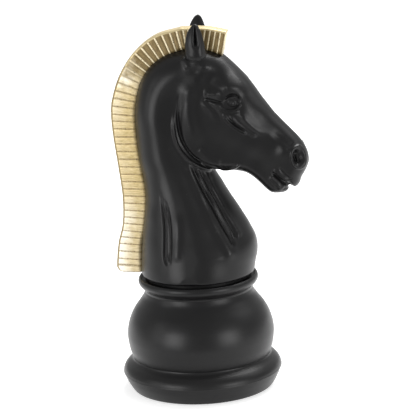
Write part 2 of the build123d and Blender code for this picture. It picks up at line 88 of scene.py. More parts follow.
# ---- Meshes -------------------------------------------------------------------------------------
def new_piece(name, node, points, faces):
    """A smooth mesh from points in millimetres that takes a CAD node's place."""
    mesh = bpy.data.meshes.new(name)
    mesh.from_pydata((np.asarray(points) * MM).tolist(), [], [list(map(int, f)) for f in faces])
    mesh.validate()
    mesh.update()
    mesh.shade_smooth()
    piece = bpy.data.objects.new(name, mesh)
    bpy.context.scene.collection.objects.link(piece)
    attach(piece, "piece")
    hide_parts(node)
    return piece


def smooth_line(points, steps=10, closed=False):
    """A Catmull-Rom curve through the points."""
    p = np.asarray(points, float)
    if closed:
        p = np.vstack([p[-1], p, p[0], p[1]])
    else:
        p = np.vstack([2 * p[0] - p[1], p, 2 * p[-1] - p[-2]])
    t = np.linspace(0, 1, steps, endpoint=False)[:, None]
    runs = []
    for a, b, c, d in zip(p[:-3], p[1:-2], p[2:-1], p[3:]):
        bend = 2 * a - 5 * b + 4 * c - d
        twist = 3 * b - a - 3 * c + d
        runs.append(0.5 * (2 * b + (c - a) * t + bend * t**2 + twist * t**3))
    line = np.vstack(runs)
    return line if closed else np.vstack([line, p[-2]])


def ease(v, low, high):
    """0 below low, 1 above high, and smooth between."""
    t = np.clip((v - low) / (high - low), 0, 1)
    return t * t * (3 - 2 * t)


def nearest(line, x, z):
    """Distance from each (x, z) to a line, and how far along it from 0 to 1."""
    best = np.full(np.shape(x), 1e9)
    share = np.zeros(np.shape(x))
    count = len(line) - 1
    for k in range(count):
        ax, az = line[k]
        dx, dz = line[k + 1] - line[k]
        length2 = dx * dx + dz * dz + 1e-12
        t = np.clip(((x - ax) * dx + (z - az) * dz) / length2, 0, 1)
        ox, oz = x - ax - t * dx, z - az - t * dz
        d2 = ox * ox + oz * oz
        closer = d2 < best
        best = np.where(closer, d2, best)
        share = np.where(closer, (k + t) / count, share)
    return np.sqrt(best), share


# ---- The horse's big forms ----------------------------------------------------------------------
class Chart:
    """Numbers on a 1 mm grid over the side view, read between its points."""

    low = np.array([-125.0, 95.0])
    size = (300, 365)
    x, z = np.meshgrid(low[0] + np.arange(size[0]), low[1] + np.arange(size[1]), indexing="ij")

    def __init__(self, numbers):
        self.numbers = numbers

    def at(self, x, z):
        u = np.clip(x - self.low[0], 0, self.size[0] - 1.001)
        v = np.clip(z - self.low[1], 0, self.size[1] - 1.001)
        i, j = u.astype(int), v.astype(int)
        a, b = u - i, v - j
        n = self.numbers
        low = n[i, j] * (1 - a) + n[i + 1, j] * a
        high = n[i, j + 1] * (1 - a) + n[i + 1, j + 1] * a
        return low * (1 - b) + high * b


def distance_chart(outline):
    """How far each place is outside a closed outline; negative inside."""
    line = smooth_line(outline, 8, closed=True)
    ring = np.vstack([line, line[0]])
    distance, _ = nearest(ring, Chart.x, Chart.z)
    inside = np.zeros(Chart.size, bool)
    for (ax, az), (bx, bz) in zip(ring[:-1], ring[1:]):
        if az == bz:
            continue
        crosses = (az > Chart.z) != (bz > Chart.z)
        inside ^= crosses & (Chart.x < ax + (Chart.z - az) * (bx - ax) / (bz - az))
    return Chart(np.where(inside, -distance, distance))


def blend_chart(samples, spread):
    """Values given at places (x, z, value), blended smoothly between them."""
    total = np.zeros(Chart.size)
    weight = np.zeros(Chart.size) + 1e-12
    for x, z, value in samples:
        w = np.exp(-((Chart.x - x) ** 2 + (Chart.z - z) ** 2) / (2 * spread**2)) + 1e-9
        total += w * value
        weight += w
    return Chart(total / weight)


HEAD_START = (5, 410)  # x and height where the head's axis starts, by the ear
HEAD_WAY = (0.72, -0.694)  # the way it runs, down to the nose


def along_head(samples):
    """Samples given along and across the head's axis, as (x, z, value)."""
    (x, z), (dx, dz) = HEAD_START, HEAD_WAY
    return [(x + dx * t - dz * s, z + dz * t + dx * s, value) for t, s, value in samples]


HEAD_OUTLINE = [
    (-6, 434), (8, 440.5), (26, 441.5), (40, 437.8), (49, 432.5), (59.7, 422.5), (69.5, 412.2),
    (78, 401.8), (85.2, 391.4), (91.8, 381.1), (99.7, 370.5), (107.4, 360.3), (116.8, 349.9),
    (126.6, 339.6), (136.4, 329), (143.7, 318.6), (148.2, 308.2), (149.5, 297.8), (147.4, 290.5),
    (143.9, 283.4), (139.7, 276.5), (136.5, 268.5), (132.1, 264), (128.2, 264.8), (124.6, 266.6),
    (121.9, 264.2), (122.2, 260.6), (119, 257.6), (114.2, 256.3), (106.4, 255.8), (100.5, 256.8),
    (96.3, 259.6), (92, 263.7), (85.9, 270.2), (79.6, 276.2), (73.3, 281), (66.5, 284.1), (56.7, 286),
    (42.7, 287.2), (27, 289), (12, 295.5), (-2, 307), (-11.5, 322), (-16, 343), (-16, 365), (-14, 390),
    (-12, 415)]
NECK_OUTLINE = [
    (27, 440), (1, 443.5), (-17, 441.5), (-34.5, 434), (-49, 422), (-60, 406), (-66.2, 388.5),
    (-70.2, 364), (-70, 336), (-68.2, 304.5), (-64, 280), (-62, 255), (-64.5, 230), (-68.6, 202),
    (-71.2, 173), (-72, 154), (-72, 140), (-72, 100), (72, 100), (72, 140), (73.6, 155), (75.6, 166.1),
    (78.2, 176.8), (78.6, 187.4), (76.6, 198), (72, 208.6), (66.8, 219.2), (60.7, 229.7), (54.5, 240.3),
    (47.8, 250.9), (41.6, 261.4), (35.8, 272), (30.5, 281), (27, 290), (28, 303), (36, 325), (43, 355),
    (44, 390), (41, 425)]

HEAD_HALF = [  # (along, across, half-width)
    (-12, 0, 29), (0, -20, 33), (0, 20, 30), (22, -42, 34.5), (25, -12, 34), (25, 22, 34),
    (50, -48, 33.5), (50, -18, 34.5), (58, 14, 37), (62, 32, 33), (82, -46, 30), (80, -14, 32.5),
    (84, 14, 32), (108, -34, 25.5), (110, -4, 27.5), (112, 18, 24.5), (135, -30, 21), (136, -2, 23),
    (138, 18, 20.5), (160, -34, 18.5), (160, -6, 22), (164, 12, 23.5), (176, -38, 16), (178, 0, 19)]
HEAD_ROUND = [  # (along, across, radius of the edges)
    (0, 20, 30), (40, 30, 31), (80, 22, 26), (110, 18, 22), (140, 15, 19), (165, 12, 17), (180, 0, 16),
    (15, -40, 15), (45, -52, 13), (80, -45, 14), (110, -32, 15), (140, -26, 14), (168, -34, 11),
    (40, -10, 24)]
NECK_HALF = [  # (x, height, half-width)
    (0, 120, 72), (-40, 150, 72), (1, 150, 72), (40, 150, 72), (4, 185, 66), (50, 185, 64),
    (-40, 185, 66), (0, 220, 56), (40, 220, 53), (-42, 220, 56), (-8, 255, 47.5), (24, 255, 43),
    (-42, 255, 47), (-22, 290, 42.5), (12, 290, 34), (-48, 290, 41), (-32, 322, 40.5), (2, 322, 29),
    (-56, 330, 38), (-34, 352, 39.5), (0, 352, 29), (-30, 380, 38), (-2, 380, 31), (-16, 405, 36),
    (5, 420, 33.5), (22, 430, 31), (-40, 415, 33)]
NECK_ROUND = [  # (x, height, radius of the edges)
    (0, 120, 72), (0, 150, 72), (0, 185, 68), (0, 220, 55), (-8, 255, 46), (-19, 290, 40),
    (-30, 322, 36), (-30, 350, 34), (-20, 380, 33), (-8, 410, 31), (10, 430, 28), (20, 300, 26)]


NECK_GAP = 5.5  # the neck's rounded lower edge stands this far over the dish
NECK_EDGE = 4.0  # how soft that edge is
NECK_SPIGOT = 67.5  # radius of the round foot that stands in the dish


class Horse:
    """The blended skin of the horse's head and neck."""

    head = distance_chart(HEAD_OUTLINE)
    neck = distance_chart(NECK_OUTLINE)
    head_half = blend_chart(along_head(HEAD_HALF), 13)
    head_round = blend_chart(along_head(HEAD_ROUND), 16)
    neck_half = blend_chart(NECK_HALF, 17)
    neck_round = blend_chart(NECK_ROUND, 20)

    @staticmethod
    def blown(outside, radius, half, y):
        """How far a place is outside a flat shape blown up to a half-width, with rounded edges."""
        return np.hypot(np.maximum(0, outside + radius), np.abs(y) * radius / half) - radius

    @classmethod
    def outside(cls, x, y, z):
        """How far each place is outside the skin, roughly; negative inside."""
        at = (x, z)
        head = cls.blown(cls.head.at(*at), cls.head_round.at(*at), cls.head_half.at(*at), y)
        neck = cls.blown(cls.neck.at(*at), cls.neck_round.at(*at), cls.neck_half.at(*at), y)
        blend = 1.5 + 11 * ease(z, 375, 425)
        near = np.maximum(blend - np.abs(head - neck), 0) / blend
        both = np.minimum(head, neck) - near * near * blend / 4
        cut = DRAWN_DISH + NECK_GAP - z
        near = np.maximum(NECK_EDGE - np.abs(both - cut), 0) / NECK_EDGE
        both = np.maximum(both, cut) + near * near * NECK_EDGE / 4
        foot = np.maximum(np.hypot(x, y) - NECK_SPIGOT, DRAWN_DISH + 0.3 - z)
        return np.minimum(both, np.maximum(foot, z - DRAWN_DISH - 12))


EDGES = [((0, 0, 0), (1, 0, 0)), ((0, 1, 0), (1, 1, 0)), ((0, 0, 1), (1, 0, 1)), ((0, 1, 1), (1, 1, 1)),
         ((0, 0, 0), (0, 1, 0)), ((1, 0, 0), (1, 1, 0)), ((0, 0, 1), (0, 1, 1)), ((1, 0, 1), (1, 1, 1)),
         ((0, 0, 0), (0, 0, 1)), ((1, 0, 0), (1, 0, 1)), ((0, 1, 0), (0, 1, 1)), ((1, 1, 0), (1, 1, 1))]


def net(field, origin, step):
    """Points and four-sided faces of the surface where a field sampled on a grid is zero."""
    inside = field < 0
    whole = sum(inside[i:i - 1 or None, j:j - 1 or None, k:k - 1 or None].astype(np.int8)
                for i in (0, 1) for j in (0, 1) for k in (0, 1))
    mixed = (whole > 0) & (whole < 8)
    cells = np.argwhere(mixed)
    number = np.full(mixed.shape, -1)
    number[mixed] = np.arange(len(cells))
    total = np.zeros((len(cells), 3))
    count = np.zeros(len(cells))
    for a, b in EDGES:
        fa = field[tuple((cells + a).T)]
        fb = field[tuple((cells + b).T)]
        crossed = (fa < 0) != (fb < 0)
        t = np.where(crossed, fa / np.where(crossed, fa - fb, 1), 0)
        total += crossed[:, None] * (np.array(a) + t[:, None] * (np.array(b) - np.array(a)))
        count += crossed
    points = origin + (cells + total / count[:, None]) * step
    faces = []
    for axis in range(3):
        low = np.delete(inside, -1, axis)
        high = np.delete(inside, 0, axis)
        edges = np.argwhere(low != high)
        u, v = np.eye(3, dtype=int)[(axis + 1) % 3], np.eye(3, dtype=int)[(axis + 2) % 3]
        edges = edges[(edges @ u > 0) & (edges @ v > 0)]
        ring = np.stack([number[tuple((edges + s).T)] for s in (-u - v, -v, 0 * u, -u)], 1)
        out = low[tuple(edges.T)]
        faces.append(np.where(out[:, None], ring, ring[:, ::-1]))
    return points, np.vstack(faces)


def slope(p, reach=0.4):
    """The outward direction and steepness of the horse's field at each point."""
    g = np.empty_like(p)
    for axis in range(3):
        d = np.zeros(3)
        d[axis] = reach
        g[:, axis] = (Horse.outside(*(p + d).T) - Horse.outside(*(p - d).T)) / (2 * reach)
    return g


SETTLE = 4  # times that the net's points are moved onto the skin


def horse_skin(step):
    """The horse's bare skin: its points, outward directions and faces."""
    low = np.array([-77.0, -76.0, DRAWN_DISH - 2])
    high = np.array([154.0, 76.0, 456.0])
    axes = [np.arange(start, stop, step) for start, stop in zip(low, high)]
    x, z = np.meshgrid(axes[0], axes[2], indexing="ij")
    field = np.empty((len(axes[0]), len(axes[1]), len(axes[2])), np.float32)
    for j, y in enumerate(axes[1]):
        field[:, j] = Horse.outside(x, y, z)
    points, faces = net(field, low, step)
    for _ in range(SETTLE):
        g = slope(points)
        steep = np.sum(g * g, 1) + 1e-3
        move = -(Horse.outside(*points.T) / steep)[:, None] * g
        points += np.clip(move, -step / 2, step / 2)
    g = slope(points)
    return points, g / (np.linalg.norm(g, axis=1)[:, None] + 1e-9), faces


# ---- The horse's carving ------------------------------------------------------------------------
def stroke(x, z, points, width, height, start=0.15, end=0.15):
    """A raised or sunk line through the points, fading over its first and last shares."""
    d, share = nearest(smooth_line(points, 6), x, z)
    fade = (ease(share, 0, start) if start else 1) * (1 - ease(share, 1 - end, 1) if end else 1)
    return height * np.exp(-((d / width) ** 2)) * fade


def oval(x, z, centre, size, turn=0.0):
    """Distance from the centre of a turned oval: 1 on its edge."""
    c, s = math.cos(math.radians(turn)), math.sin(math.radians(turn))
    dx, dz = x - centre[0], z - centre[1]
    return np.hypot((dx * c + dz * s) / size[0], (dz * c - dx * s) / size[1])


def swell(x, z, centre, size, height, turn=0.0):
    """A soft hump or hollow."""
    return height * np.exp(-(oval(x, z, centre, size, turn) ** 2))


def eye(x, z):
    """The eye in its socket: ball, pupil, lids, brow and the creases round them."""
    c = (60.2, 380.8)
    socket = swell(x, z, c, (13, 9), -3.6, -25)
    ball = 3.9 * np.sqrt(np.clip(1 - oval(x, z, c, (7.0, 5.5), -25) ** 2, 0, 1))
    pupil = swell(x, z, (59.8, 380.2), (2.3, 2.1), -1.7)
    lid = stroke(x, z, [(50, 380), (54.5, 385.6), (60.5, 387.6), (66.5, 384.8), (70, 379)], 1.3, 3.1)
    lid_crease = stroke(x, z, [(52, 385), (58, 390.2), (65, 389.3), (70.5, 384)], 1.3, -1.9)
    lower_lid = stroke(x, z, [(44.5, 377.5), (51, 372.2), (59, 370.4), (66, 372.8), (71.5, 379)], 1.25, 2.9)
    brow = swell(x, z, (58, 398.5), (12, 6.5), 2.8, -15)
    corner = stroke(x, z, [(24, 385.5), (33, 383.5), (42, 381.5), (49, 379.5)], 1.9, -2.6)
    under = stroke(x, z, [(47, 374), (53, 368.5), (61, 366.8), (69, 370)], 1.8, -1.2)
    return socket + ball + pupil + lid + lid_crease + lower_lid + brow + corner + under


def face(x, z):
    """The forehead, temple, cheek and the bones of the nose."""
    h = stroke(x, z, [(45, 404), (54, 407), (64, 403.5), (71, 396.5), (76, 386)], 8.5, 2.3, 0.3, 0.4)
    h += swell(x, z, (34, 410), (13, 11), -3.6, 20)
    h += stroke(x, z, [(24, 391), (35, 392.5), (48, 390.5)], 5.2, 4.0, 0.35, 0.35)
    h += stroke(x, z, [(19, 384), (27, 375.5), (34, 368), (38, 350)], 2.8, 0.9, 0.3, 0.5)
    h += stroke(x, z, [(25, 385), (34, 376), (42, 366), (45, 350)], 2.2, -1.0, 0.2, 0.6)
    h += stroke(x, z, [(47, 366.5), (56, 354.5), (66, 346), (77, 339)], 1.9, 3.0)
    h += stroke(x, z, [(52, 363), (61, 353.2), (70, 346.5), (80, 340)], 1.3, -1.9, 0.3, 0.4)
    h += stroke(x, z, [(55, 365), (66, 352), (79, 341), (89, 334)], 2.4, 1.9)
    h += stroke(x, z, [(66, 371), (76, 356), (88, 343), (101, 334)], 4.4, 3.0, 0.3, 0.45)
    h += stroke(x, z, [(80, 382), (92, 361), (108, 340), (121, 326)], 7, -1.3, 0.4, 0.3)
    h += stroke(x, z, [(9, 408), (5, 388), (4, 366), (8, 343), (18, 322)], 9.5, 3.2, 0.2, 0.3)
    h += stroke(x, z, [(14, 322), (26, 308), (42, 299)], 4.5, 1.2)
    h += swell(x, z, (32, 340), (22, 24), -1.4)
    h += stroke(x, z, [(36, 289.5), (48, 290.5), (58, 294), (66, 299.5)], 1.5, 1.7)
    h += swell(x, z, (90, 300), (16, 12), -1.6, -40)
    return h


def jaw_fold(x, z):
    """The groove behind the round cheek and the fold that follows it down to the throat."""
    groove = [(-5, 398), (-8.6, 382), (-10.2, 364), (-9.2, 346), (-6, 331.5), (0.8, 318.5), (10, 308),
              (21, 300), (32, 294.5), (41, 290)]
    fold = [(-13, 376), (-15.8, 360), (-16, 346), (-13.6, 330.5), (-8.4, 319), (0.5, 308), (10, 299.5),
            (20, 292.8), (28, 288.5)]
    h = stroke(x, z, groove, 1.6, -3.2, 0.35, 0.1)
    h += stroke(x, z, fold, 2.0, 3.0, 0.3, 0.05)
    return h


def throat(x, z):
    """The long folds from the throat down to the chest."""
    first = [(-4, 310), (6, 284), (15.2, 261.5), (29.7, 228), (40, 209), (50, 191), (53, 178)]
    h = stroke(x, z, first, 5, 2.0, 0.1)
    h += stroke(x, z, [(3, 303), (15, 275), (30.5, 246), (42, 224), (52, 206), (56, 196)], 2.2, -2.9, 0.1)
    h += stroke(x, z, [(8, 299), (21, 272), (36, 244), (47, 223), (57, 205)], 2.0, 1.9, 0.1)
    h += stroke(x, z, [(12, 296), (26, 267), (41, 238), (52, 219), (60, 203)], 1.9, -2.9, 0.1)
    h += stroke(x, z, [(17, 294), (32, 260), (47, 233), (58, 216), (64, 203)], 3.2, 1.6, 0.1)
    return h


def slits(x, z):
    """The two long slits low on the neck and the leaf between them."""
    rear = [(-38, 272), (-33.5, 250), (-31, 228), (-31, 204), (-31.5, 186), (-28.5, 174)]
    h = stroke(x, z, rear, 1.9, -3.0, 0.35)
    h += stroke(x, z, [(-32, 262), (-26.5, 244), (-24, 224), (-23.6, 198), (-25.5, 175)], 1.9, -2.5, 0.35)
    h += stroke(x, z, [(-31, 252), (-27.8, 230), (-27.3, 205), (-28, 184)], 1.8, 1.3, 0.3)
    h += stroke(x, z, [(-14, 246), (-13, 215), (-16, 180)], 5, 1.2, 0.3)
    return h


def muzzle(x, z):
    """The nostril, the lips and the chin."""
    hole = oval(x, z, (139.0, 305.2), (8.2, 12.6), 6)
    h = -9.0 * (1 - ease(hole, 0.52, 0.98))
    h += 1.6 * np.exp(-(((hole - 1.12) / 0.12) ** 2))
    h += swell(x, z, (140.5, 303), (2.2, 7), 2.6, 6)
    h += stroke(x, z, [(106, 341), (117, 331), (126, 324), (132, 319)], 4.6, -1.9, 0.4, 0.15)
    h += swell(x, z, (120.5, 314), (8, 11), 2.2, -20)
    mouth = [(103, 287.5), (108.5, 282), (114, 276.3), (119.5, 270.8), (124.5, 266.5)]
    h += stroke(x, z, mouth, 2.3, -4.6, 0.25, 0)
    h += stroke(x, z, [(106, 290), (112, 284.5), (119, 279), (126, 272.5)], 2.2, 1.5)
    h += stroke(x, z, [(114, 294), (118, 286.5), (125, 280), (130, 277.5)], 1.6, -1.5)
    h += stroke(x, z, [(101, 281), (106, 275), (112, 268.5), (118, 263)], 2.6, 1.4)
    return h


def ear_root(x, z):
    """The root of the ear and the knobs round it."""
    h = stroke(x, z, [(-3, 436), (3, 430), (6, 424)], 3.2, 1.5)
    h += swell(x, z, (16, 434), (17, 8), 5.5)
    h += swell(x, z, (27, 425), (6, 4), 1.8)
    h += swell(x, z, (14, 420), (8, 5), -1.4)
    return h


GRID = 0.8  # millimetres between the points of the skin
CARVED = (0.3, 0.62)  # the carving fades in between these shares of the half-width
CARVINGS = (eye, face, jaw_fold, throat, slits, muzzle, ear_root)


def build_horse():
    """The horse's head and neck as one piece, carved on both sides and bare along the middle."""
    points, outward, faces = horse_skin(GRID)
    x, y, z = points.T
    half = np.where(Horse.head.at(x, z) < 2, Horse.head_half.at(x, z), Horse.neck_half.at(x, z))
    height = sum(carving(x, z) for carving in CARVINGS)
    side = ease(np.abs(y) / half, *CARVED)
    points = points + outward * (height * side)[:, None]
    points[:, 2] = lift(points[:, 2])
    return new_piece("horse_skin", "horse_shell", points, faces)


horse = build_horse()


# ---- Ears ---------------------------------------------------------------------------------------
EAR_STATIONS = [  # (height, x of the middle, half-length, half-width)
    (424, 16, 12.5, 8.5), (432, 15.8, 13.2, 9.4), (440, 15.6, 13.6, 9.8), (448, 15.4, 13.0, 9.6),
    (456, 15.2, 12.2, 8.8), (463, 15.2, 10.8, 7.6), (469, 15.4, 9.0, 6.0), (474, 15.9, 6.6, 4.4),
    (477.6, 16.3, 4.2, 3.0), (479.3, 16.6, 2.0, 1.6), (480, 16.7, 0.5, 0.5)]
EAR_TURNS = 96
EAR_FACING = 76.0  # degrees from straight ahead to where the hollow opens, outwards
EAR_IN = 0.4  # how far the ear stands inside its CAD node's middle
EAR_SPREAD = 1.2  # how far its tip leans outwards
EAR_SINK = 8  # how far its root leans into the head


def bump_at(angles, middle, spread):
    """1 where the angle is the middle one, falling off to both sides."""
    return np.exp(-(((angles - middle) / spread) ** 2))


def build_ear(name, node, side, back=0.0, taller=0.0):
    """A pointed ear, furled round a slit. Side is -1 for the right ear; back and taller set one ear off."""
    profile = smooth_line(EAR_STATIONS, 7)
    facing = math.radians(EAR_FACING)
    angles = np.linspace(0, 2 * math.pi, EAR_TURNS, endpoint=False)
    rings = []
    for z, middle, length, width in profile:
        open_here = ease(z, 449, 458) * (1 - ease(z, 476, 480))
        turned = (angles - facing + math.pi) % (2 * math.pi) - math.pi
        slit = 1 - open_here * (0.62 * bump_at(turned, 0, 0.2) + 0.1 * bump_at(turned, 0, 0.6))
        front_lip = 1 + 0.1 * open_here * bump_at(turned, -0.42, 0.2)
        front_flat = 1 - 0.1 * bump_at(turned, -0.95, 0.45)
        across = slit * front_lip * front_flat
        x = middle - back + length * np.cos(angles) * across
        lean = EAR_SPREAD * ease(z, 440, 480) - EAR_SINK * (1 - ease(z, 424, 441))
        y = side * (EAR_MIDDLE - EAR_IN + lean + width * np.sin(angles) * across)
        rings.append(np.stack([x, y, np.full(EAR_TURNS, lift(z + taller * ease(z, 440, 480)))], 1))
    points = np.vstack(rings)
    faces = []
    for r in range(len(rings) - 1):
        for k in range(EAR_TURNS):
            n = (k + 1) % EAR_TURNS
            quad = [r * EAR_TURNS + k, r * EAR_TURNS + n, (r + 1) * EAR_TURNS + n, (r + 1) * EAR_TURNS + k]
            faces.append(quad if side > 0 else quad[::-1])
    low = list(range(EAR_TURNS))
    high = [(len(rings) - 1) * EAR_TURNS + k for k in range(EAR_TURNS)]
    faces += [low[::-1], high] if side > 0 else [low, high[::-1]]
    return new_piece(name, node, points, faces)


ears = [build_ear("ear_right_skin", "ear_right", -1),
        build_ear("ear_left_skin", "ear_left", 1, back=5.0, taller=1.6)]


# ---- Mane ---------------------------------------------------------------------------------------
MANE_LINES = [  # (rib line, counted from the forehead; rim x, height; root x, height)
    (0, 52.6, 466.0, 45.8, 434.5), (4, 26.4, 471.0, 21, 441.5), (8, -1.5, 471.3, 2, 442.5),
    (9, -11.3, 469.9, -5, 441.8), (12, -40.2, 461.6, -26, 433), (15, -66.4, 441.8, -44, 420),
    (18, -86, 414, -57.5, 399.5), (21, -97.6, 383.7, -65, 377), (23, -100.8, 362.3, -67.5, 359),
    (26, -99.6, 332.4, -67, 331.8), (30, -95.4, 293.3, -63, 292.4), (34, -92, 254.9, -58.5, 253.6),
    (38, -93.6, 218.8, -63, 216), (41, -100.6, 192.1, -69, 189.4), (44, -104.3, 164.5, -70, 162.2),
    (44.6, -103.6, 158.6, -70, 157), (44.9, -101.4, 155.2, -70, 154.4), (45, -98.5, 153.9, -70, 153.4)]
RIBS = 45
PER_RIB = 12
CURVE_STEPS = 24
MANE_SEED = 7
MANE_INSET = 0.4  # before the ribs are added, the blade's faces lie this far inside the CAD's
RIM_FROM = 0.98  # beyond this share of the way out, the ribs lengthen the blade and don't thicken it
# Across the blade, from its root on the right out to the rim: (share of the way out, share of the
# half-thickness, how much of the ribs' relief shows). The left side mirrors it.
HALF_ACROSS = [
    (0.0, 0.6, 0.0), (0.10, 1.0, 0.5), (0.17, 1.0, 1), (0.3, 0.995, 1), (0.5, 0.985, 1), (0.7, 0.975, 1),
    (0.84, 0.965, 1), (0.90, 0.96, 0.9), (0.93, 0.95, 0.4), (0.955, 0.93, 0.15), (0.975, 0.90, 0.15),
    (0.99, 0.80, 0.12), (1.0, 0.62, 0.1), (1.0, 0.2, 0.1)]
ACROSS = HALF_ACROSS + [(a, -b, c) for a, b, c in reversed(HALF_ACROSS)]


GROOVE_SHARE = 0.10  # a groove's width as a share of a rib's


def rib_relief(place, rng):
    """How far each line of the blade stands out: low pillows, shingled a little, between narrow grooves."""
    rib = np.minimum(place.astype(int), RIBS - 1)
    within = place - rib
    edge = np.minimum(within, 1 - within)
    groove = np.exp(-((edge / GROOVE_SHARE) ** 2))
    full = rng.uniform(0.35, 0.6, RIBS)[rib] * np.sin(math.pi * within)
    lean = rng.uniform(0.25, 0.75, RIBS)[rib] * (0.5 - within)
    return full + lean - rng.uniform(0.8, 1.15, RIBS)[rib] * groove


def build_mane():
    """The ribbed blade of the mane, with a rounded rim."""
    lines = np.array(MANE_LINES, float)
    place = np.linspace(0, RIBS, RIBS * PER_RIB + 1)
    # Rim and root are smooth curves through the listed lines, with the rib lines spaced evenly between them.
    curve = smooth_line(lines[:, 1:], CURVE_STEPS)
    number = np.interp(np.arange(len(curve)) / CURVE_STEPS, np.arange(len(lines)), lines[:, 0])
    rim_root = np.stack([np.interp(place, number, curve[:, k]) for k in range(4)], 1)
    relief = rib_relief(place, np.random.default_rng(MANE_SEED))
    points, along, out = [], [], []
    for k, (rim_x, rim_z, root_x, root_z) in enumerate(rim_root):
        root = np.array([root_x, root_z])
        way = np.array([rim_x, rim_z]) - root
        length = np.linalg.norm(way)
        for reach, share, shown in ACROSS:
            dent = relief[k] * shown
            x, z = root + way * (reach + (dent / length if reach > RIM_FROM else 0))
            y = -share * (MANE_HALF - MANE_INSET) - math.copysign(dent if reach <= RIM_FROM else 0, share)
            points.append((x, y, lift(z)))
            along.append(place[k])
            out.append(reach)
    n = len(ACROSS)
    count = len(place)
    faces = [[k * n + j, k * n + j + 1, (k + 1) * n + j + 1, (k + 1) * n + j]
             for k in range(count - 1) for j in range(n - 1)]
    faces += [[k * n + n - 1, k * n, (k + 1) * n, (k + 1) * n + n - 1] for k in range(count - 1)]
    faces += [list(range(n))[::-1], [(count - 1) * n + j for j in range(n)]]
    mane = new_piece("mane_leaf", "mane", points, faces)
    for name, numbers in (("rib", along), ("reach", out)):
        mane.data.attributes.new(name, "FLOAT", "POINT").data.foreach_set("value", numbers)
    return mane


mane = build_mane()


# ---- Turned base --------------------------------------------------------------------------------
TURNS = 192


def turn(name, node, slot, profile):
    """A piece turned about the upright axis from a closed outline of (radius, height)."""
    angles = np.linspace(0, 2 * math.pi, TURNS, endpoint=False)
    n = len(profile)
    points = [(r * math.cos(a), r * math.sin(a), z) for a in angles for r, z in profile]
    faces = []
    for k in range(TURNS):
        here, there = k * n, (k + 1) % TURNS * n
        for j in range(n):
            up = (j + 1) % n
            faces.append([here + j, there + j, there + up, here + up])
    return new_piece(name, node, points, faces)


def run(points, steps=6):
    """A smooth stretch of a profile."""
    return smooth_line(points, steps).tolist()


def build_foot():
    """The foot: slanting side, a fine crease, a full shoulder, and a hollow up to the bowl."""
    r, low = FOOT_RADIUS, RIM
    side = run([(r - 12.5, low), (r - 11.2, low + 0.8), (r - 7.8, low + 6), (r - 3.8, low + 13.5),
                (r - 1.2, low + 20.4)])
    crease = [(r - 1.0, low + 21.2), (r - 0.95, low + 21.5), (r - 0.1, low + 21.9), (r, low + 22.3)]
    top = run([(r - 0.2, low + 22.9), (r - 0.9, low + 26.5), (r - 3.0, low + 30.6), (r - 6.2, low + 34.0),
               (r - 9.6, low + 36.6), (r - 12.0, low + 38.6), (r - 13.1, low + 40.2), (r - 13.6, low + 41.6)])
    recess = COVER_RADIUS + 0.3
    inner = [(20, low + 38.4), (20, low + 30), (76, low + 30), (76, COVER_TOP), (recess, COVER_TOP),
             (recess, low)]
    return turn("foot_casting", "foot", "resin_foot", side + crease + top + inner)


def build_bowl():
    """The bowl, from its tucked-in foot to the narrow neck under the collar."""
    r, low, high = BOWL_RADIUS, DECK, SHOULDER
    side = run([(r - 7.4, low - 0.6), (r - 6.2, low + 2.5), (r - 4.2, low + 8), (r - 1.9, low + 16),
                (r - 0.4, low + 26), (r, low + 34), (r - 1.4, low + 44), (r - 4.8, low + 55),
                (r - 10.5, low + 66), (r - 17.5, low + 75.5), (r - 22.6, low + 83), (r - 24.8, high - 2.5),
                (r - 25.4, high)])
    inner = [(50, high), (50, high - 6), (60, high - 12), (r - 12, low + 40), (60, low + 6), (60, low - 0.6)]
    return turn("bowl_casting", "bowl", "resin_bowl", side + inner)


def build_collar():
    """The collar: a hollow under a rolled lip, and the dish behind it."""
    r, low = LIP_RADIUS, SHOULDER
    outside = run([(r - 7.4, low - 0.5), (r - 6.6, low + 2.2), (r - 4.0, low + 5.2), (r - 1.4, low + 8.4),
                   (r - 0.1, low + 11.6), (r - 0.5, low + 14.8), (r - 2.0, low + 17.0), (r - 3.2, low + 17.5),
                   (r - 4.4, low + 16.8), (r - 5.4, DISH + 0.4), (r - 7.0, DISH)])
    inner = [(40, DISH), (40, low - 0.5)]
    return turn("collar_casting", "collar", "resin_collar", outside + inner)


base = [build_foot(), build_bowl(), build_collar()]


# ---- Finishes -----------------------------------------------------------------------------------
class Value:
    """A socket's value; sums and products on it add Math nodes."""

    def __init__(self, finish, socket):
        self.finish, self.socket = finish, socket

    def math(self, operation, a, b):
        return self.finish.node("ShaderNodeMath", {"operation": operation}, {0: a, 1: b})

    def __add__(self, other):
        return self.math("ADD", self, other)

    def __sub__(self, other):
        return self.math("SUBTRACT", self, other)

    def __mul__(self, other):
        return self.math("MULTIPLY", self, other)

    def __truediv__(self, other):
        return self.math("DIVIDE", self, other)

    def __rsub__(self, other):
        return self.math("SUBTRACT", other, self)

    __radd__, __rmul__ = __add__, __mul__


